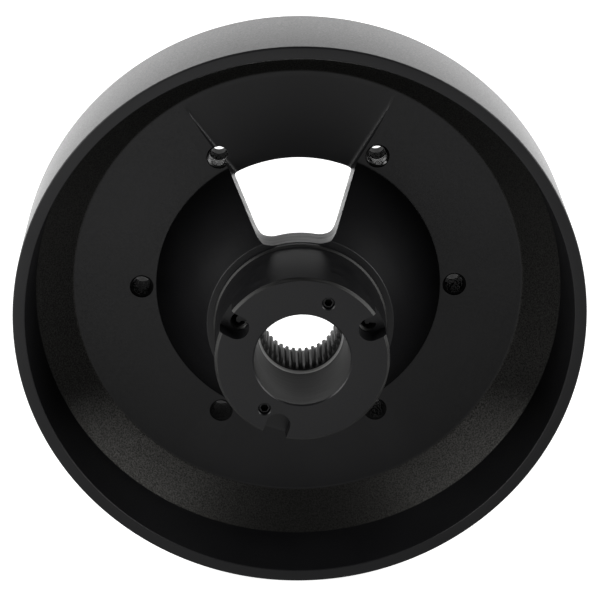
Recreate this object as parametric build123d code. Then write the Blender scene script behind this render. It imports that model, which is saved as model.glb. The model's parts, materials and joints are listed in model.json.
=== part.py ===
from build123d import *
import math
import os

os.makedirs("parts", exist_ok=True)

# Short steering-wheel hub adapter. All sizes in millimetres and degrees.
# It is modelled on a turning axis (local +Z, z = 0 on the wheel's mounting face,
# z growing towards the steering column) and then turned by place() so that the axis
# lies along Y: the wheel face looks to +Y, the column side to -Y, the window is at +Z.
# The finished part's origin is on the axis at the boss's end face, where the shaft enters.

# wheel side: mounting pad and the six tapped holes
pad_r = 47.0
pad_step = 3.2
pad_edge = 0.5
wheel_pcd = 70.0
wheel_count = 6
wheel_drill_r = 2.1
wheel_sink_r = 2.7
flange_t = 12.0

# outer cup
bevel_in_r = 51.5
bevel_in_z = 4.0
front_r = 61.8
front_z = 9.6
rim_out_r = 62.17
rim_in_r = 59.44
rim_z = 35.14
rim_edge = 0.35
wall_in_r = 58.2
wall_in_z = 18.4
flat_out_r = 50.17

# centre cone, thick shell with a hollow on the wheel side
well_r = 31.68
open_r = 29.5
hollow_z = 10.6
web_z = 29.5
web_r = 20.3
collar_r = 20.2
collar_edge = 0.3
inner_edge = 0.4
seat_z = 35.5

# window through the cone and the scoop that runs out of it
window_apex = (-0.12, 6.67)  # where the planes of the two side walls would meet
window_from = 59.6
window_to = 125.8
window_floor_r = 18.95
window_corner_r = 3.0
scoop_out_r = 49.0
scoop_drop = 2.0
scoop_corner_r = 1.2

# steel boss
boss_r = 18.42
boss_z = 55.86
step_r = 18.85
step_z = 37.0
step_edge = 0.4
spigot_r = 14.6
spigot_edge = 0.4
nut_face_z = 29.4
boss_edge = 0.6
bore_edge = 0.26
bore_mouth_r = 10.2
bore_end_r = 9.2
bore_end_z = 41.2
spline_z = 39.4
spline_lead = 0.45
spline_front = 1.2
spline_root_r = 8.5
spline_mouth_r = 8.6
spline_tip_r = 7.85
spline_teeth = 36
spline_groove_in = 0.98
spline_groove_out = 0.50
spline_groove_start_r = 7.45

# set screws sunk in the boss's rear face: (radius from axis, angle)
screw_places = {"set_screw_upper": (13.75, 66.6), "set_screw_lower": (13.67, 234.3)}
screw_r = 1.25
screw_sink_r = 1.45
screw_top = 0.8
screw_length = 4.5
screw_edge = 0.15
screw_socket = 1.5
screw_socket_depth = 1.6

# notches open at the side, (radius from axis, angle, depth), and the tapped seats in two floors
notches = [(15.57, 151.3, 4.8), (15.9, 25.5, 4.8), (15.6, 250.9, 4.4)]
notch_r = 2.6
seats = [(15.0, 151.3), (15.35, 25.5)]
seat_top = 4.8
seat_drill_r = 1.65
seat_sink_r = 1.85
seat_depth = 8.0

# cutters
clear = 5.0  # how far a cutter runs past the faces it goes through
sink_clear = 0.1  # the same for a countersink, which widens as it goes
tip_ratio = 0.6  # length of a drill's tip over its radius
tip_flat_r = 0.01  # a drill's tip ends in this radius instead of a point
near = 0.01  # two sizes closer than this count as equal

LOW = (Align.CENTER, Align.CENTER, Align.MIN)
HIGH = (Align.CENTER, Align.CENTER, Align.MAX)


def place(shape):
    """Turn the local axis from +Z to -Y, keeping X, with the boss's end face at Y = 0."""
    return Pos(0, boss_z, 0) * Rot(90, 0, 0) * shape


def polar(radius, angle):
    """Point at a radius and angle in the local XY plane."""
    a = math.radians(angle)
    return (radius * math.cos(a), radius * math.sin(a))


def turned(points):
    """Solid of revolution about the local Z axis from (radius, z) points."""
    outline = Polyline(*[(r, 0, z) for r, z in points], close=True)
    return revolve(make_face(outline), Axis.Z, 360)


def drilled(radius, angle, z_mouth, depth, drill_r, sink_r):
    """Cutter for a hole drilled from z_mouth towards -Z, with a 45 degree countersink."""
    x, y = polar(radius, angle)
    sink = sink_r - drill_r
    base = z_mouth - depth
    shaft = Pos(x, y, base) * Cylinder(drill_r, depth + clear, align=LOW)
    cone = Pos(x, y, z_mouth - sink) * Cone(drill_r, sink_r + sink_clear, sink + sink_clear, align=LOW)
    tip = Pos(x, y, base) * Cone(tip_flat_r, drill_r, drill_r * tip_ratio, align=HIGH)
    return shaft + cone + tip


def through_tap(angle):
    """Cutter for one wheel bolt hole, countersunk on the column side."""
    x, y = polar(wheel_pcd / 2, angle)
    sink = wheel_sink_r - wheel_drill_r
    shaft = Pos(x, y, -clear) * Cylinder(wheel_drill_r, flange_t + 2 * clear, align=LOW)
    cone = Cone(wheel_drill_r, wheel_sink_r + sink_clear, sink + sink_clear, align=LOW)
    return shaft + Pos(x, y, flange_t - sink) * cone


def sector(r_in, r_out, z0, z1):
    """Prism over the part of a ring that lies between the window's side walls."""
    middle = (window_from + window_to) / 2
    reach = [polar(2 * r_out, angle) for angle in (window_from, middle, window_to)]
    corners = [(window_apex[0] + x, window_apex[1] + y) for x, y in reach]
    face = (Circle(r_out) - Circle(r_in)) & make_face(Polyline(window_apex, *corners, close=True))
    return Pos(0, 0, z0) * extrude(face, z1 - z0, dir=(0, 0, 1))


def window_cutter():
    """Prism through the cone, with rounded corners along its floor."""
    cut = sector(window_floor_r, open_r, -clear, seat_z + clear)
    upright = cut.edges().filter_by(Axis.Z)
    corners = [e for e in upright if math.hypot(e.center().X, e.center().Y) < window_floor_r + near]
    return fillet(corners, window_corner_r)


def scoop_cutter():
    """Space above the scoop's floor, which slopes down from the flat ring to the window."""
    low = flange_t - scoop_drop
    top = seat_z + clear
    inside = open_r - clear
    ring = turned([(open_r, low), (scoop_out_r, flange_t), (scoop_out_r, top), (inside, top), (inside, low)])
    cut = ring & sector(inside, scoop_out_r, low - clear, top)
    return fillet([e for e in cut.edges() if runs_along_floor(e)], scoop_corner_r)


def runs_along_floor(edge):
    """True for an edge at the foot of one of the scoop's two side walls."""
    a = edge @ 0
    b = edge @ 1
    low_enough = max(a.Z, b.Z) < flange_t + near
    runs_out = abs(math.hypot(a.X, a.Y) - math.hypot(b.X, b.Y)) > near
    return low_enough and runs_out


def hub_body():
    """Cast aluminium body: pad, cup, flat ring, centre cone and collar."""
    profile = [
        (open_r, inner_edge),
        (open_r + inner_edge, 0),
        (pad_r - pad_edge, 0),
        (pad_r, pad_edge),
        (pad_r, pad_step),
        (bevel_in_r, bevel_in_z),
        (front_r, front_z),
        (rim_out_r, rim_z - rim_edge),
        (rim_out_r - rim_edge, rim_z),
        (rim_in_r + rim_edge, rim_z),
        (rim_in_r, rim_z - rim_edge),
        (wall_in_r, wall_in_z),
        (flat_out_r, flange_t),
        (well_r, flange_t),
        (collar_r, seat_z - collar_edge),
        (collar_r - collar_edge, seat_z),
        (spigot_r, seat_z),
        (spigot_r, web_z + inner_edge),
        (spigot_r + inner_edge, web_z),
        (web_r, web_z),
        (open_r, hollow_z),
    ]
    body = turned(profile) - window_cutter() - scoop_cutter()
    for i in range(wheel_count):
        body -= through_tap(i * 360 / wheel_count)
    return body


def spline_boss():
    """Steel boss: shouldered spigot, tapered bore and splines for the shaft."""
    profile = [
        (spline_tip_r, nut_face_z + spline_lead),
        (spline_mouth_r, nut_face_z),
        (spigot_r - spigot_edge, nut_face_z),
        (spigot_r, nut_face_z + spigot_edge),
        (spigot_r, seat_z),
        (step_r, seat_z),
        (step_r, step_z - step_edge),
        (step_r - step_edge, step_z),
        (boss_r, step_z),
        (boss_r, boss_z - boss_edge),
        (boss_r - boss_edge, boss_z),
        (bore_mouth_r + bore_edge, boss_z),
        (bore_mouth_r, boss_z - bore_edge),
        (bore_end_r, bore_end_z),
        (spline_root_r, spline_z),
        (spline_tip_r, spline_z - spline_front),
    ]
    boss = turned(profile) - spline_grooves()
    for radius, angle in screw_places.values():
        boss -= drilled(radius, angle, boss_z, screw_top + screw_length, screw_r, screw_sink_r)
    for radius, angle, depth in notches:
        boss -= notch(radius, angle, depth)
    for radius, angle in seats:
        boss -= drilled(radius, angle, boss_z - seat_top, seat_depth, seat_drill_r, seat_sink_r)
    return boss


def set_screw(radius, angle):
    """Short screw with a hexagon socket, turned in until it lies below the boss's face."""
    x, y = polar(radius, angle)
    screw = Cylinder(screw_r, screw_length, align=HIGH)
    screw = chamfer(screw.edges().filter_by(GeomType.CIRCLE), screw_edge)
    hexagon = RegularPolygon(screw_socket / 2, 6, major_radius=False)
    socket = Pos(0, 0, -screw_socket_depth) * extrude(hexagon, screw_socket_depth + clear)
    return Pos(x, y, boss_z - screw_top) * (screw - socket)


def spline_grooves():
    """Cutter for the gaps between the teeth, over the whole toothed length."""
    half_in = spline_groove_in / 2
    half_out = spline_groove_out / 2
    groove = make_face(Polyline(
        (spline_groove_start_r, -half_in),
        (spline_root_r, -half_out),
        (spline_root_r, half_out),
        (spline_groove_start_r, half_in),
        close=True,
    ))
    pitch = 360 / spline_teeth
    grooves = Sketch() + [Rot(0, 0, (i + 0.5) * pitch) * groove for i in range(spline_teeth)]
    return Pos(0, 0, nut_face_z - clear) * extrude(grooves, spline_z - nut_face_z + clear, dir=(0, 0, 1))


def notch(radius, angle, depth):
    """Cutter for a round-ended slot that runs out through the boss's side."""
    tall = depth + clear
    out = (Align.MIN, Align.CENTER, Align.MIN)
    cut = Cylinder(notch_r, tall, align=LOW) + Box(boss_r, 2 * notch_r, tall, align=out)
    return Pos(0, 0, boss_z - depth) * Rot(0, 0, angle) * Pos(radius, 0, 0) * cut


export_step(place(hub_body()), "parts/hub_body.step")
export_step(place(spline_boss()), "parts/spline_boss.step")
for name, (radius, angle) in screw_places.items():
    export_step(place(set_screw(radius, angle)), f"parts/{name}.step")
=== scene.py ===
import json
import math

import bmesh
import bpy
from mathutils import Matrix, Vector


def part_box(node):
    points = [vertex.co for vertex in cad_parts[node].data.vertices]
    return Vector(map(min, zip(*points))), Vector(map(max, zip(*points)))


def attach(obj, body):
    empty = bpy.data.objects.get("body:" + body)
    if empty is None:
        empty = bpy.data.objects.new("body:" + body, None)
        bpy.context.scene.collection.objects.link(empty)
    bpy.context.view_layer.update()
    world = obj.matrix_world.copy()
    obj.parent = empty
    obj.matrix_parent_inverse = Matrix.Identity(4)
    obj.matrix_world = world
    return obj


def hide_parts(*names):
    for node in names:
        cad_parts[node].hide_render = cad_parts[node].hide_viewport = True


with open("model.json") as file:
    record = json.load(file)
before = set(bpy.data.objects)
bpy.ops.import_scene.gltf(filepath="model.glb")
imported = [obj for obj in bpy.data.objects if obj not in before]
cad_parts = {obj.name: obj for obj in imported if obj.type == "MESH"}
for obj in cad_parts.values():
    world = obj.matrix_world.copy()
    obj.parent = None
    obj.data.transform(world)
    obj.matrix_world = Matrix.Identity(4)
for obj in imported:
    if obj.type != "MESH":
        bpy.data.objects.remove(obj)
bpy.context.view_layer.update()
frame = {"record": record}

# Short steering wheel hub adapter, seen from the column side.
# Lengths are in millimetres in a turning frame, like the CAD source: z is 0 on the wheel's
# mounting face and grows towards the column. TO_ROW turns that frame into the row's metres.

MM = 0.001
HUB_LOW, HUB_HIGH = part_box("hub_body")
BOSS_LOW, BOSS_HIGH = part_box("spline_boss")
MOUNTS = {mount["name"]: mount for mount in frame["record"]["mounts"]}
TO_ROW = Matrix.Translation((0, HUB_HIGH.y, 0)) @ Matrix.Rotation(math.pi / 2, 4, "X") @ Matrix.Scale(MM, 4)

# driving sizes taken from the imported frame
SEAT_Z = (HUB_HIGH.y - HUB_LOW.y) / MM
BOSS_Z = (HUB_HIGH.y - BOSS_LOW.y) / MM
RIM_R = HUB_HIGH.x / MM
STEP_R = BOSS_HIGH.x / MM
BOLTS = MOUNTS["wheel_bolts"]["dims"]

# hub body
PAD_R = 47.0
PAD_STEP = 3.2
BEVEL_R = 51.5
BEVEL_Z = 4.0
FRONT_R = 61.8
FRONT_Z = 9.6
RIM_IN_R = 59.44
RIM_Z = 35.14
WALL_R = 58.2
WALL_Z = 18.4
FLAT_R = 50.17
FLAT_Z = 12.0
WELL_R = 31.68
OPEN_R = 29.5
HOLLOW_Z = 10.6
WEB_R = 20.3
WEB_Z = 29.5
COLLAR_R = 20.2
SPIGOT_R = 14.6
HUB_COLUMNS = 360
BOLT_SINK_R = 2.7
BOLT_THREAD_R = 2.5
BOLT_PITCH = 0.8
BOLT_TAPPED_Z = 3.0  # the thread ends here, short of the wheel face
BOLT_HIGHLIGHT_Z = 7.5
BRIGHT_BOLTS = (1, 2)  # painted highlight: these threads are lighter metal from the mouth down to the depth set above, where light falls into the hole

# window through the cone, and the scoop that runs out of it
WINDOW_APEX = Vector((-0.12, 6.67))  # where the planes of its two side walls would meet
WINDOW_FROM = 59.6
WINDOW_TO = 125.8
WINDOW_FLOOR_R = 18.95
WINDOW_CORNER = 3.0
WINDOW_LEDGE = 0.25
SCOOP_R = 49.0
SCOOP_DROP = 2.0
SCOOP_CORNER = 1.2

# boss
BOSS_R = 18.42
STEP_Z = 37.0
NUT_Z = 29.4
MOUTH_R = 10.2
BORE_R = 9.2
BORE_Z = 41.2
SPLINE_Z = 39.4
SPLINE_LEAD = 0.45
SPLINE_FRONT = 1.2
ROOT_R = 8.5
TIP_R = 7.85
TEETH = 36
STEP_EDGE = 0.4
BOSS_EDGE = 0.6
BORE_EDGE = 0.26
GAP_SINK = 0.005  # how far the gaps' floor lies inside the root circle
LEAD_SINK = 0.1  # how far the lead at the nut's end opens past the root circle
# columns of one tooth: degrees from the middle of the gap before it, and True on the tooth's tip
TOOTH_COLUMNS = [
    (-2.9, True), (-1.7, False), (0.0, False), (1.7, False),
    (2.9, True), (4.1, True), (5.0, True), (5.9, True),
]
NOTCHES = [(15.57, 151.3, 4.8), (15.9, 25.5, 4.8), (15.6, 250.9, 4.4)]
NOTCH_R = 2.6
SEAT_TOP = 4.8
SEAT_SINK_R = 1.85
SEAT_THREAD_R = 2.0
SEAT_PITCH = 0.7
SEAT_BRIGHT = 2.0  # depth to which the seat's thread carries a painted highlight

# set screws in the boss's end face
SCREWS = {"set_screw_upper": (13.75, 66.6), "set_screw_lower": (13.67, 234.3)}
SCREW_R = 1.25
SCREW_SINK_R = 1.45
SCREW_TOP = 0.8
SCREW_LENGTH = 4.5
SCREW_EDGE = 0.15
SCREW_GAP = 0.03  # between a screw and the wall of its hole
SCREW_END_GAP = 0.05  # between a screw's end and the floor of its hole
SCREW_COLUMNS = 36
SOCKET_FLAT = 0.75
SOCKET_DEPTH = 1.6

# meshes and cutters
SHARP_ANGLE = 30
AXIS_R = 0.005  # points this near a turning axis are merged on it
AXIS_CLEAR_R = 0.02  # radius of the flat that closes a cutter on its axis
HOLE_COLUMNS = 48
QUARTER_STEPS = 8  # points on a rounded corner of the window or the scoop
SCOOP_STEPS = 24
WINDOW_OVERRUN = 6.0  # how far the window's cutter runs past the body, along the axis
SCOOP_OVERRUN = 1.0  # and past the scoop's outer end
SCOOP_SINK = 0.003  # keeps the scoop's floor from lying in the flat ring's plane
NOTCH_STEPS = 24
NOTCH_OVERRUN = 4.0  # past the boss's side
CUTTER_TOP = 2.0  # past the boss's end face
SINK_OVERRUN = 0.05  # the same for the countersink of a screw's hole
BOLT_OVERRUN = 1.0  # past both ends of a wheel bolt's hole

# finishes, in the order of each piece's material slots
COAT, CAST, LIT_THREAD, MILLED, HOLE_SHADE = range(5)
OXIDE, STEEL, DARK, BORE, TURNED, TOOTH, LIT_EDGE = range(7)
SLOTS = 7  # every new mesh has this many slots, so that the cutters' finishes carry over


def polar(radius, angle):
    """Point at a radius and angle (degrees) across the turning axis."""
    a = math.radians(angle)
    return radius * math.cos(a), radius * math.sin(a)


def rounded(corners):
    """Closed outline of (r, z, finish) points: each corner (r, z, radius, finish) becomes an arc.

    finish is that of the stretch from the corner to the next one."""
    steps = 4
    straight = 0.01  # a corner that turns less than this, in radians, isn't rounded
    share = 0.45  # an arc takes at most this share of each side
    outline = []
    for i, (r, z, radius, finish) in enumerate(corners):
        here = Vector((r, z))
        before = Vector(corners[i - 1][:2])
        after = Vector(corners[(i + 1) % len(corners)][:2])
        arrive = (here - before).normalized()
        leave = (after - here).normalized()
        turn = arrive.angle(leave)
        if radius == 0 or turn < straight:
            outline.append((r, z, finish))
            continue
        room = share * min((here - before).length, (after - here).length)
        back = min(radius * math.tan(turn / 2), room)
        start = here - arrive * back
        end = here + leave * back
        for k in range(steps + 1):
            t = k / steps
            point = start * (1 - t) ** 2 + here * (2 * t * (1 - t)) + end * t ** 2
            outline.append((point.x, point.y, finish if t >= 0.5 else corners[i - 1][3]))
    return outline


def new_object(name, points, faces, finishes):
    """Object of a closed mesh with its faces turned outwards, and a finish for each face."""
    mesh = bpy.data.meshes.new(name)
    mesh.from_pydata(points, [], faces)
    for _ in range(SLOTS):
        mesh.materials.append(None)
    mesh.polygons.foreach_set("material_index", finishes)
    bm = bmesh.new()
    bm.from_mesh(mesh)
    bmesh.ops.recalc_face_normals(bm, faces=bm.faces)
    if bm.calc_volume(signed=True) < 0:
        bmesh.ops.reverse_faces(bm, faces=bm.faces)
    bm.to_mesh(mesh)
    bm.free()
    obj = bpy.data.objects.new(name, mesh)
    bpy.context.scene.collection.objects.link(obj)
    return obj


def turned(name, columns):
    """Turned body: columns is a list of (angle, outline), whose outlines have equally many points."""
    count = len(columns[0][1])
    points = [(*polar(r, angle), z) for angle, outline in columns for r, z, _ in outline]
    faces = []
    finishes = []
    for i in range(len(columns)):
        here = i * count
        there = (i + 1) % len(columns) * count
        for k in range(count):
            after = (k + 1) % count
            faces.append((here + k, here + after, there + after, there + k))
            finishes.append(columns[i][1][k][2])
    return new_object(name, points, faces, finishes)


def slab(name, low, high, finishes):
    """Closed piece between two grids of points, one above the other, with a finish for each row."""
    rows = len(low)
    columns = len(low[0])
    points = [p for grid in (low, high) for row in grid for p in row]
    upper = rows * columns

    def at(i, j):
        return i * columns + j

    faces = []
    looks = []
    for i in range(rows - 1):
        for j in range(columns - 1):
            quad = (at(i, j), at(i, j + 1), at(i + 1, j + 1), at(i + 1, j))
            faces += [quad, tuple(corner + upper for corner in quad)]
            looks += [finishes[i]] * 2
        for j in (0, columns - 1):
            a, b = at(i, j), at(i + 1, j)
            faces.append((a, b, b + upper, a + upper))
            looks.append(finishes[i])
    for i in (0, rows - 1):
        for j in range(columns - 1):
            a, b = at(i, j), at(i, j + 1)
            faces.append((a, b, b + upper, a + upper))
            looks.append(finishes[i])
    return new_object(name, points, faces, looks)


def cut(body, cutters):
    """Takes the cutters away from the body, one after the other, and deletes them."""
    for cutter in cutters:
        step = body.modifiers.new("cut", "BOOLEAN")
        step.operation = "DIFFERENCE"
        step.solver = "EXACT"
        step.object = cutter
    graph = bpy.context.evaluated_depsgraph_get()
    result = bpy.data.meshes.new_from_object(body.evaluated_get(graph), depsgraph=graph)
    body.modifiers.clear()
    old = body.data
    body.data = result
    bpy.data.meshes.remove(old)
    for cutter in cutters:
        bpy.data.meshes.remove(cutter.data)


def dress(obj, materials):
    """Puts the piece in its place, shades it smooth between its sharp edges and gives it its materials."""
    obj.data.transform(TO_ROW)
    polygons = obj.data.polygons
    finishes = [0] * len(polygons)
    polygons.foreach_get("material_index", finishes)
    obj.data.materials.clear()  # this also sets every finish to the first one
    for material in materials:
        obj.data.materials.append(material)
    polygons.foreach_set("material_index", finishes)
    polygons.foreach_set("use_smooth", [True] * len(polygons))
    obj.data.set_sharp_from_angle(angle=math.radians(SHARP_ANGLE))


def window_wall(r, side, inset):
    """Angle at which a side wall of the window, moved inwards by inset, crosses a radius."""
    a = math.radians(side)
    along = Vector((math.cos(a), math.sin(a)))
    inwards = Vector((-along.y, along.x)) if side == WINDOW_FROM else Vector((along.y, -along.x))
    start = WINDOW_APEX + inwards * inset
    reach = -start.dot(along) + math.sqrt(start.dot(along) ** 2 - start.length_squared + r * r)
    point = start + along * reach
    return math.degrees(math.atan2(point.y, point.x))


def scoop_floor(r, angle):
    """Height of the scoop's floor: a slope that meets the flat ring, rounded up to the side walls."""
    height = FLAT_Z - SCOOP_DROP * (SCOOP_R - max(r, OPEN_R)) / (SCOOP_R - OPEN_R)
    offset = Vector(polar(r, angle)) - WINDOW_APEX
    for side, way in ((WINDOW_FROM, 1), (WINDOW_TO, -1)):
        x, y = polar(1, side)
        wall = max((offset.y * x - offset.x * y) * way, 0)
        if wall < SCOOP_CORNER:
            height += SCOOP_CORNER - math.sqrt(SCOOP_CORNER ** 2 - (SCOOP_CORNER - wall) ** 2)
    return height


def window_cutter():
    """Cutter for the window and the scoop: a sector whose floor drops away at the opening."""
    quarter = [math.pi / 2 * k / QUARTER_STEPS for k in range(QUARTER_STEPS + 1)]
    rows = []
    for a in quarter:
        r = WINDOW_FLOOR_R + WINDOW_CORNER * (1 - math.cos(a))
        rows.append((r, WINDOW_CORNER * (1 - math.sin(a)), True))
    ledge_r = OPEN_R - WINDOW_LEDGE
    rows.append((ledge_r - AXIS_R, 0, True))
    rows.append((ledge_r, 0, False))
    rows += [(OPEN_R + (SCOOP_R - OPEN_R) * k / SCOOP_STEPS, 0, False) for k in range(SCOOP_STEPS + 1)]
    rows.append((SCOOP_R + SCOOP_OVERRUN, 0, False))
    low = []
    high = []
    for r, inset, through in rows:
        start = window_wall(r, WINDOW_FROM, inset)
        end = window_wall(r, WINDOW_TO, inset)
        corner = math.degrees(SCOOP_CORNER / r)
        foot = [corner * (1 - math.cos(a)) for a in quarter]
        room = end - start - 2 * corner
        middle = [start + corner + room * k / SCOOP_STEPS for k in range(1, SCOOP_STEPS)]
        angles = [start + a for a in foot] + middle + [end - a for a in reversed(foot)]
        bottom = [-WINDOW_OVERRUN if through else scoop_floor(r, a) - SCOOP_SINK for a in angles]
        low.append([(*polar(r, a), z) for a, z in zip(angles, bottom)])
        high.append([(*polar(r, a), SEAT_Z + WINDOW_OVERRUN) for a in angles])
    return slab("window_cutter", low, high, [MILLED if through else COAT for _, _, through in rows])


def thread_cutter(centre, low_z, high_z, minor_r, major_r, pitch, sink, tapped_z, finishes):
    """Cutter that leaves a metric thread in a hole, above tapped_z.

    sink is the (z, radius) of the countersink at the mouth. finishes are those of the deep part
    and of the part near the mouth, and the z between them."""
    # one turn of the groove: its floor is an eighth of the pitch wide, the land a quarter
    turn_points = [(0, major_r), (pitch / 8, major_r), (pitch * 7 / 16, minor_r), (pitch * 11 / 16, minor_r)]
    columns = HOLE_COLUMNS
    step = len(turn_points)
    turns = math.ceil((high_z - low_z) / pitch)
    count = step * turns
    points = []
    for i in range(columns):
        for turn in range(turns):
            for offset, radius in turn_points:
                z = low_z + pitch * (turn + i / columns) + offset
                if z < tapped_z:
                    radius = minor_r
                if z > sink[0]:
                    radius = sink[1]
                radius = max(radius, sink[1] - abs(sink[0] - z))
                x, y = polar(radius, 360 * i / columns)
                points.append((centre[0] + x, centre[1] + y, z))
    faces = []
    last = (columns - 1) * count
    for i in range(columns - 1):
        for k in range(count - 1):
            here = i * count + k
            faces.append((here, here + count, here + count + 1, here + 1))
    for k in range(count - 1 - step):
        faces.append((last + k, k + step, k + step + 1, last + k + 1))
    low_rim = [i * count for i in range(columns)] + list(range(step, 0, -1))
    high_rim = [i * count + count - 1 for i in range(columns)] + [last + count - 2 - k for k in range(step)]
    for rim in (low_rim, high_rim):
        hub = len(points)
        points.append((centre[0], centre[1], points[rim[0]][2]))
        faces += [(a, b, hub) for a, b in zip(rim, rim[1:] + rim[:1])]
    deep, near, change_z = finishes
    looks = [near if points[face[0]][2] > change_z else deep for face in faces]
    return new_object("thread_cutter", points, faces, looks)


def hole_cutter(centre, outline, look):
    """Cutter for a plain round hole from the (radius, z) points of its wall, closed at both ends."""
    columns = HOLE_COLUMNS
    points = []
    for i in range(columns):
        for radius, z in outline:
            x, y = polar(radius, 360 * i / columns)
            points.append((centre[0] + x, centre[1] + y, z))
    count = len(outline)
    faces = []
    for i in range(columns):
        here, there = i * count, (i + 1) % columns * count
        faces += [(here + k, there + k, there + k + 1, here + k + 1) for k in range(count - 1)]
    faces.append([i * count for i in range(columns)])
    faces.append([i * count + count - 1 for i in range(columns)])
    return new_object("hole_cutter", points, faces, [look] * len(faces))


def notch_cutter(radius, angle, floor_z, look):
    """Cutter for a slot with a round inner end that runs out through the boss's side."""
    arc = [math.pi / 2 + math.pi * k / NOTCH_STEPS for k in range(NOTCH_STEPS + 1)]
    ring = [(radius + NOTCH_R * math.cos(a), NOTCH_R * math.sin(a)) for a in arc]
    outer = BOSS_R + NOTCH_OVERRUN
    ring = [(outer, NOTCH_R), *ring, (outer, -NOTCH_R)]
    turn = Matrix.Rotation(math.radians(angle), 3, "Z")
    points = [tuple(turn @ Vector((x, y, z))) for z in (floor_z, BOSS_Z + CUTTER_TOP) for x, y in ring]
    count = len(ring)
    faces = [list(range(count)), list(range(count, 2 * count))]
    for k in range(count):
        after = (k + 1) % count
        faces.append((k, after, count + after, count + k))
    return new_object("notch_cutter", points, faces, [look] * len(faces))


def make_hub(materials):
    """The cast and machined aluminium body."""
    outline = rounded([
        (OPEN_R, 0, 0.4, COAT),
        (PAD_R, 0, 0.5, COAT),
        (PAD_R, PAD_STEP, 0.3, COAT),
        (BEVEL_R, BEVEL_Z, 1.2, COAT),
        (FRONT_R, FRONT_Z, 1.2, COAT),
        (RIM_R, RIM_Z, 0.45, COAT),
        (RIM_IN_R, RIM_Z, 0.35, COAT),
        (WALL_R, WALL_Z, 0.5, CAST),
        (FLAT_R, FLAT_Z, 1.2, COAT),
        (WELL_R, FLAT_Z, 0.5, COAT),
        (COLLAR_R, SEAT_Z, 0.3, COAT),
        (SPIGOT_R, SEAT_Z, 0, COAT),
        (SPIGOT_R, WEB_Z, 0.4, COAT),
        (WEB_R, WEB_Z, 1.0, CAST),
        (OPEN_R, HOLLOW_Z, 1.0, COAT),
    ])
    hub = turned("hub_body_detail", [(360 * i / HUB_COLUMNS, outline) for i in range(HUB_COLUMNS)])
    cutters = [window_cutter()]
    for i in range(BOLTS["count"]):
        centre = polar(BOLTS["pcd_mm"] / 2, 360 * i / BOLTS["count"])
        # painted highlight: lighter metal near the mouth of the two holes in BRIGHT_BOLTS
        near = LIT_THREAD if i in BRIGHT_BOLTS else HOLE_SHADE
        cutters.append(thread_cutter(
            centre, -BOLT_OVERRUN, FLAT_Z + BOLT_OVERRUN, BOLTS["hole_r_mm"], BOLT_THREAD_R, BOLT_PITCH,
            # painted shade: the low-reflecting coating deep in every hole, and near the mouth of the other
            # holes
            (FLAT_Z, BOLT_SINK_R), BOLT_TAPPED_Z, (HOLE_SHADE, near, BOLT_HIGHLIGHT_Z),
        ))
    cut(hub, cutters)
    dress(hub, materials)
    return hub


def boss_outline(root):
    """Outline of the boss in a column on a tooth's tip, or in a gap when root is True."""
    tip_r = ROOT_R - GAP_SINK if root else TIP_R
    lead_r = ROOT_R + LEAD_SINK
    return rounded([
        (tip_r, NUT_Z + SPLINE_LEAD, 0, OXIDE),
        (lead_r, NUT_Z, 0, OXIDE),
        (SPIGOT_R, NUT_Z, 0.4, OXIDE),
        (SPIGOT_R, SEAT_Z, 0, OXIDE),
        (STEP_R, SEAT_Z, 0, OXIDE),
        # painted highlight on the step's edge and ring and on the boss's edge
        (STEP_R, STEP_Z - STEP_EDGE, 0.1, LIT_EDGE),
        (STEP_R - STEP_EDGE, STEP_Z, 0, LIT_EDGE),
        (BOSS_R, STEP_Z, 0, TURNED),
        (BOSS_R, BOSS_Z - BOSS_EDGE, 0.1, LIT_EDGE),
        (BOSS_R - BOSS_EDGE, BOSS_Z, 0.1, OXIDE),
        (MOUTH_R + BORE_EDGE, BOSS_Z, 0.1, OXIDE),
        (MOUTH_R, BOSS_Z - BORE_EDGE, 0.1, BORE),
        # painted highlight on the ring at the bore's inner end
        (BORE_R, BORE_Z, 0, STEEL),
        # painted shade on the ends of the spline's teeth
        ((BORE_R + ROOT_R) / 2, (BORE_Z + SPLINE_Z) / 2, 0, DARK),
        (ROOT_R, SPLINE_Z, 0, DARK),
        (tip_r, SPLINE_Z - SPLINE_FRONT, 0, TOOTH),
    ])


def make_boss(materials):
    """The steel boss with its splines, notches, tapped seats and the holes of the set screws."""
    tip = boss_outline(root=False)
    gap = boss_outline(root=True)
    columns = []
    for tooth in range(TEETH):
        for angle, on_tip in TOOTH_COLUMNS:
            columns.append(((tooth + 0.5) * 360 / TEETH + angle, tip if on_tip else gap))
    boss = turned("spline_boss_detail", columns)
    cutters = []
    for radius, angle, depth in NOTCHES:
        cutters.append(notch_cutter(radius, angle, BOSS_Z - depth, OXIDE))
    seat_z = BOSS_Z - SEAT_TOP
    for name in ("notch_seat_left", "notch_seat_right"):
        mount = MOUNTS[name]
        x, y, _ = TO_ROW.inverted() @ Vector(mount["pos_m"])
        drill_r = mount["dims"]["r_mm"]
        low_z = seat_z - mount["dims"]["length_mm"]
        # painted highlight on the seat's thread near its mouth
        cutters.append(thread_cutter(
            (x, y), low_z, seat_z, drill_r, SEAT_THREAD_R, SEAT_PITCH,
            (seat_z, SEAT_SINK_R), low_z, (OXIDE, LIT_EDGE, seat_z - SEAT_BRIGHT),
        ))
    low_z = BOSS_Z - SCREW_TOP - SCREW_LENGTH - SCREW_END_GAP
    hole_r = SCREW_R + SCREW_GAP
    rim_z = BOSS_Z - (SCREW_SINK_R - hole_r)
    mouth = (SCREW_SINK_R + SINK_OVERRUN, BOSS_Z + SINK_OVERRUN)
    wall = [(AXIS_CLEAR_R, low_z), (hole_r, low_z), (hole_r, rim_z), mouth]
    for place in SCREWS.values():
        cutters.append(hole_cutter(polar(*place), wall, OXIDE))
    cut(boss, cutters)
    dress(boss, materials)
    return boss


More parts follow.
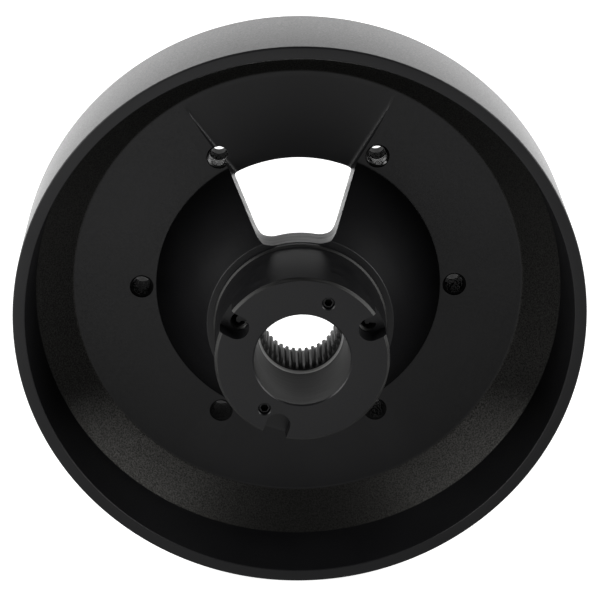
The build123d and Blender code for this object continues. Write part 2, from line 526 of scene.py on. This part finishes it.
def make_screw(name, place, materials):
    """A set screw with a hexagon socket."""
    top = BOSS_Z - SCREW_TOP
    low = top - SCREW_LENGTH
    floor = top - SOCKET_DEPTH
    columns = []
    for i in range(SCREW_COLUMNS):
        angle = 360 // SCREW_COLUMNS * i
        wall_r = SOCKET_FLAT / math.cos(math.radians(angle % 60 - 30))  # along the hexagon's flats
        columns.append((angle, rounded([
            # painted shade in the socket and on the screw's edges and side
            (AXIS_R, floor, 0, DARK),
            (wall_r, floor, 0, DARK),
            (wall_r, top, 0.05, OXIDE),
            (SCREW_R - SCREW_EDGE, top, 0.05, DARK),
            (SCREW_R, top - SCREW_EDGE, 0.05, DARK),
            (SCREW_R, low + SCREW_EDGE, 0, DARK),
            (SCREW_R - SCREW_EDGE, low, 0, DARK),
            (AXIS_R, low, 0, DARK),
        ])))
    screw = turned(name + "_detail", columns)
    bm = bmesh.new()
    bm.from_mesh(screw.data)
    bmesh.ops.remove_doubles(bm, verts=bm.verts, dist=2.5 * AXIS_R)
    bm.to_mesh(screw.data)
    bm.free()
    screw.data.transform(Matrix.Translation((*polar(*place), 0)))
    dress(screw, materials)
    return screw


# materials

def principled(name, metallic=0.0, level=0.5, rough=None):
    """New material and its shader, with the values that are the same all over set on the shader."""
    material = bpy.data.materials.new(name)
    material.use_nodes = True
    shader = material.node_tree.nodes["Principled BSDF"]
    shader.inputs["Metallic"].default_value = metallic
    shader.inputs["Specular IOR Level"].default_value = level
    if rough is not None:
        shader.inputs["Roughness"].default_value = rough
    return material, material.node_tree, shader


def noise(tree, scale, detail=2.0, stretch=(1, 1, 1)):
    """Noise in the piece's own coordinates. scale is about the number of its features per metre."""
    place = tree.nodes.new("ShaderNodeTexCoord")
    mapping = tree.nodes.new("ShaderNodeMapping")
    mapping.inputs["Scale"].default_value = stretch
    tree.links.new(place.outputs["Object"], mapping.inputs["Vector"])
    texture = tree.nodes.new("ShaderNodeTexNoise")
    texture.inputs["Scale"].default_value = scale
    texture.inputs["Detail"].default_value = detail
    tree.links.new(mapping.outputs["Vector"], texture.inputs["Vector"])
    return texture.outputs["Fac"]


def ramp(tree, value, low, high, from_value=0.3, to_value=0.7):
    """Maps a value onto a range, or between two colours."""
    if isinstance(low, tuple):
        made = tree.nodes.new("ShaderNodeValToRGB")
        made.color_ramp.elements[0].position = from_value
        made.color_ramp.elements[1].position = to_value
        made.color_ramp.elements[0].color = (*low, 1)
        made.color_ramp.elements[1].color = (*high, 1)
        tree.links.new(value, made.inputs["Fac"])
        return made.outputs["Color"]
    made = tree.nodes.new("ShaderNodeMapRange")
    made.inputs["From Min"].default_value = from_value
    made.inputs["From Max"].default_value = to_value
    made.inputs["To Min"].default_value = low
    made.inputs["To Max"].default_value = high
    tree.links.new(value, made.inputs["Value"])
    return made.outputs["Result"]


def bump(tree, shader, height, distance, strength):
    """Relief that follows a value; distance is its depth in metres."""
    made = tree.nodes.new("ShaderNodeBump")
    made.inputs["Distance"].default_value = distance
    made.inputs["Strength"].default_value = strength
    tree.links.new(height, made.inputs["Height"])
    tree.links.new(made.outputs["Normal"], shader.inputs["Normal"])


def grained(name, grain, tones, rough, relief=None, **fixed):
    """Material whose tone, roughness and relief follow one noise.

    grain holds the scale, detail and stretch of the noise, tones its dark and light colour,
    rough the roughness at these two ends or one value, and relief the bump's depth and strength."""
    if not isinstance(rough, tuple):
        fixed["rough"] = rough
    material, tree, shader = principled(name, **fixed)
    pattern = noise(tree, *grain)
    tree.links.new(ramp(tree, pattern, *tones), shader.inputs["Base Color"])
    if isinstance(rough, tuple):
        tree.links.new(ramp(tree, pattern, *rough), shader.inputs["Roughness"])
    if relief:
        bump(tree, shader, pattern, *relief)
    return material


def coat_material():
    """Satin black coating over machined aluminium, with faint clouds in its tone."""
    material, tree, shader = principled("coated_aluminium")
    grain = noise(tree, 2500)
    clouds = noise(tree, 60, 3)
    tones = (0.006, 0.006, 0.007), (0.010, 0.010, 0.011)
    tree.links.new(ramp(tree, clouds, *tones), shader.inputs["Base Color"])
    tree.links.new(ramp(tree, grain, 0.36, 0.46), shader.inputs["Roughness"])
    bump(tree, shader, grain, 0.00002, 0.5)
    return material


def cast_material():
    """The same coating over the blasted casting: its grains catch the light one by one."""
    material, tree, shader = principled("cast_aluminium")
    grain = noise(tree, 3200)
    # painted light colour: the warm tint of the reflections stands in for warm light on the slope
    shader.inputs["Specular Tint"].default_value = (1.0, 0.98, 0.93, 1)
    tones = (0.003, 0.003, 0.003), (0.007, 0.007, 0.0065)
    tree.links.new(ramp(tree, grain, *tones), shader.inputs["Base Color"])
    tree.links.new(ramp(tree, grain, 0.32, 0.78, 0.35, 0.65), shader.inputs["Specular IOR Level"])
    tree.links.new(ramp(tree, grain, 0.5, 0.4), shader.inputs["Roughness"])
    bump(tree, shader, grain, 0.00005, 0.7)
    return material


def hub_materials():
    """The finishes of the hub body: COAT, CAST, LIT_THREAD, MILLED, HOLE_SHADE."""
    # painted highlight: lighter metal on the threads near the mouth of two bolt holes, where light falls in,
    # with turning lines
    lit_thread = grained(
        "painted_highlight_aluminium", (900, 2, (0.15, 6, 0.15)), ((0.04, 0.04, 0.04), (0.14, 0.14, 0.14)),
        rough=(0.18, 0.34), relief=(0.00003, 0.6), metallic=1.0,
    )
    # the coating over the milled walls of the window, with the cutter's lines across
    milled = grained(
        "milled_aluminium", (900, 3, (0.06, 0.9, 0.06)), ((0.008, 0.008, 0.008), (0.03, 0.03, 0.03)),
        rough=(0.36, 0.52), relief=(0.0001, 0.9), level=0.7,
    )
    # painted shade: a rough coating with very little reflection, darker than the coat, in the tapped holes
    deep = grained(
        "painted_shade_aluminium", (2500, 2), ((0.006, 0.006, 0.006), (0.02, 0.02, 0.02)),
        rough=0.6, level=0.06,
    )
    return [coat_material(), cast_material(), lit_thread, milled, deep]


def steel_materials():
    """The finishes of the boss and its screws: OXIDE, STEEL, DARK, BORE, TURNED, TOOTH, LIT_EDGE."""
    oxide = grained(
        "black_oxide", (3000, 2), ((0.008, 0.008, 0.009), (0.014, 0.014, 0.015)),
        rough=(0.3, 0.4), relief=(0.00002, 0.3), level=0.42,
    )
    # painted highlight: lighter metal on the ring at the inner end of the tapered bore
    steel = grained(
        "painted_highlight_steel", (1100, 2, (0.2, 5, 0.2)), ((0.3, 0.3, 0.3), (0.5, 0.5, 0.49)),
        rough=(0.42, 0.56), relief=(0.00003, 0.6), metallic=1.0,
    )
    # painted shade: very dark, low-reflecting steel on the ends of the spline's teeth, and in the sockets of
    # the set screws and on their edges and sides
    dark = grained(
        "painted_shade_steel", (3000, 2), ((0.004, 0.004, 0.004), (0.01, 0.01, 0.01)),
        rough=0.5, level=0.12,
    )
    # blackened, finely turned wall of the bore
    bore = grained(
        "bore_steel", (900, 2, (0.1, 1.6, 0.1)), ((0.012, 0.012, 0.012), (0.03, 0.03, 0.029)),
        rough=(0.5, 0.62), relief=(0.00004, 0.6), level=0.34,
    )
    # the boss's turned side, a little rougher than its face
    side = grained(
        "turned_steel", (900, 2, (0.3, 1.6, 0.3)), ((0.012, 0.012, 0.013), (0.024, 0.024, 0.025)),
        rough=(0.38, 0.48), relief=(0.00002, 0.5), level=0.13,
    )
    # flanks and tips of the spline's teeth
    tooth = grained(
        "tooth_steel", (2200, 2, (1, 0.1, 1)), ((0.008, 0.008, 0.008), (0.03, 0.03, 0.029)),
        rough=(0.42, 0.56), relief=(0.00003, 0.5), level=0.13,
    )
    # painted highlight: lighter metal on the edges of the boss and its step, and near the mouths of the
    # seats' threads
    edge = grained(
        "painted_highlight_edge_steel", (1100, 2, (0.2, 5, 0.2)), ((0.04, 0.04, 0.04), (0.09, 0.09, 0.088)),
        rough=(0.45, 0.6), relief=(0.00002, 0.5), metallic=1.0,
    )
    return [oxide, steel, dark, bore, side, tooth, edge]


# the photograph's view: azimuth, elevation and distance from a point on the axis
CAMERA_AZIMUTH = -1.18
CAMERA_ELEVATION = 21.33
CAMERA_DISTANCE = 0.64482
CAMERA_TARGET = Vector((0.000416, 0.04386, -0.003535))
CAMERA_LENS = 172.53

CLIP = (0.01, 20)

# floor and table
FLOOR_HALF = 4.0
FLOOR_TONE = 0.8
FLOOR_GLOW = 0.9
TABLE_DROP = 0.0005  # below the floor
TABLE_HALF = 0.7
TABLE_FRONT = -1.0
TABLE_BACK_GAP = 0.02  # from the table's far edge to the wheel face
TABLE_TONE = 0.05
# painted light: the hidden table glows; dimmer close to the object's foot as painted shade, brighter on the
# left
TABLE_FAR = 0.62  # radiance of the table away from the object, and close to its foot
TABLE_NEAR = 0.3
TABLE_FADE = (-0.18, 0.0)  # where along Y the one changes into the other
TABLE_SLANT = 0.4  # how much brighter the table is on the left than in the middle
TABLE_SPREAD = 0.15  # how far along X from the middle that goes on

# surroundings: values at the two ends of a range of directions, then that range
BACKDROP = 2.5
BACKDROP_RISE = (0.0, 1.0, -0.1, 0.55)  # along Y
CEILING_FALL = (1.0, 0.0, 0.45, 0.75)  # along Z
FRONT_FALL = (0.42, 0.03, -0.1, 0.3)  # along Z

# softboxes, one on each side
LAMP_AZIMUTH = 66
LAMP_ELEVATION = 20
LAMP_DISTANCE = 1.2
LAMP_SIZE = 0.7
LAMP_POWER = 6.5


def stand(obj, azimuth, elevation, distance):
    """Puts a camera or light in the scene, at a direction and distance from the target it faces."""
    a = math.radians(azimuth)
    e = math.radians(elevation)
    back = Vector((math.sin(a) * math.cos(e), -math.cos(a) * math.cos(e), math.sin(e)))
    obj.location = CAMERA_TARGET + back * distance
    obj.rotation_mode = "QUATERNION"
    obj.rotation_quaternion = (-back).to_track_quat("-Z", "Y")
    bpy.context.scene.collection.objects.link(obj)


def make_camera():
    """Camera at the photograph's viewing angle."""
    data = bpy.data.cameras.new("camera")
    data.lens = CAMERA_LENS
    data.clip_start, data.clip_end = CLIP
    camera = bpy.data.objects.new("camera", data)
    stand(camera, CAMERA_AZIMUTH, CAMERA_ELEVATION, CAMERA_DISTANCE)
    bpy.context.scene.camera = camera


def sheet(name, half, near, far, z, material):
    """Flat rectangle for the stage, half its width on each side of the middle."""
    mesh = bpy.data.meshes.new(name)
    corners = [(-half, near, z), (half, near, z), (half, far, z), (-half, far, z)]
    mesh.from_pydata(corners, [], [(0, 1, 2, 3)])
    mesh.materials.append(material)
    made = bpy.data.objects.new(name, mesh)
    bpy.context.scene.collection.objects.link(made)
    return made


def make_floor():
    """Plain white floor that the cup's edge stands on."""
    material, _, shader = principled("floor", rough=0.8)
    shader.inputs["Base Color"].default_value = (FLOOR_TONE, FLOOR_TONE, FLOOR_TONE, 1)
    shader.inputs["Emission Color"].default_value = (1, 1, 1, 1)
    shader.inputs["Emission Strength"].default_value = FLOOR_GLOW
    floor = sheet("floor", FLOOR_HALF, -FLOOR_HALF, FLOOR_HALF, HUB_LOW.z, material)
    floor.visible_glossy = False
    floor.visible_diffuse = False


def product(tree, first, second):
    """Product of two values."""
    made = tree.nodes.new("ShaderNodeMath")
    made.operation = "MULTIPLY"
    tree.links.new(first, made.inputs[0])
    tree.links.new(second, made.inputs[1])
    return made.outputs["Value"]


def split(tree, output):
    """X, Y and Z of the surface's own or the surroundings' coordinates."""
    place = tree.nodes.new("ShaderNodeTexCoord")
    parts = tree.nodes.new("ShaderNodeSeparateXYZ")
    tree.links.new(place.outputs[output], parts.inputs["Vector"])
    return parts.outputs


def make_table():
    """Grey table top under the object, which only the object's surfaces see. It glows as painted light:
    dimmer close to the object's foot as painted shade, and brighter on the left.
    """
    material, tree, shader = principled("table", rough=0.9)
    parts = split(tree, "Object")
    # painted shade near the object's foot and painted light on the left, as the table's glow
    depth = ramp(tree, parts["Y"], TABLE_FAR, TABLE_NEAR, *TABLE_FADE)
    across = ramp(tree, parts["X"], 1 + TABLE_SLANT, 1 - TABLE_SLANT, -TABLE_SPREAD, TABLE_SPREAD)
    tree.links.new(product(tree, depth, across), shader.inputs["Emission Strength"])
    shader.inputs["Emission Color"].default_value = (1, 1, 1, 1)
    shader.inputs["Base Color"].default_value = (TABLE_TONE, TABLE_TONE, TABLE_TONE, 1)
    far = HUB_HIGH.y - TABLE_BACK_GAP
    table = sheet("table", TABLE_HALF, TABLE_FRONT, far, HUB_LOW.z - TABLE_DROP, material)
    table.visible_camera = False
    table.visible_shadow = False


def softbox(name, azimuth):
    """Soft square light beside the object."""
    data = bpy.data.lights.new(name, "AREA")
    data.shape = "RECTANGLE"
    data.size = data.size_y = LAMP_SIZE
    data.energy = LAMP_POWER
    light = bpy.data.objects.new(name, data)
    stand(light, azimuth, LAMP_ELEVATION, LAMP_DISTANCE)


def make_world():
    """Studio surroundings: a bright backdrop behind, a dim side towards the camera, dark overhead."""
    world = bpy.data.worlds.new("studio")
    bpy.context.scene.world = world
    world.use_nodes = True
    tree = world.node_tree
    tree.nodes.clear()
    parts = split(tree, "Generated")
    backdrop = ramp(tree, parts["Y"], *BACKDROP_RISE)
    ceiling = ramp(tree, parts["Z"], *CEILING_FALL)
    front = ramp(tree, parts["Z"], *FRONT_FALL)
    light = tree.nodes.new("ShaderNodeMath")
    light.operation = "MULTIPLY_ADD"
    light.inputs[1].default_value = BACKDROP
    tree.links.new(product(tree, backdrop, ceiling), light.inputs[0])
    tree.links.new(front, light.inputs[2])
    shade = tree.nodes.new("ShaderNodeBackground")
    tree.links.new(light.outputs["Value"], shade.inputs["Strength"])
    out = tree.nodes.new("ShaderNodeOutputWorld")
    tree.links.new(shade.outputs["Background"], out.inputs["Surface"])


hub = make_hub(hub_materials())
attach(hub, "root")
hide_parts("hub_body")

steel_looks = steel_materials()
boss = make_boss(steel_looks)
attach(boss, "root")
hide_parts("spline_boss")
for name, place in SCREWS.items():
    screw = make_screw(name, place, steel_looks)
    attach(screw, "root")
    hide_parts(name)

make_floor()
make_table()
make_world()
softbox("left_softbox", -LAMP_AZIMUTH)
softbox("right_softbox", LAMP_AZIMUTH)
make_camera()
bpy.context.scene.view_settings.view_transform = "Standard"
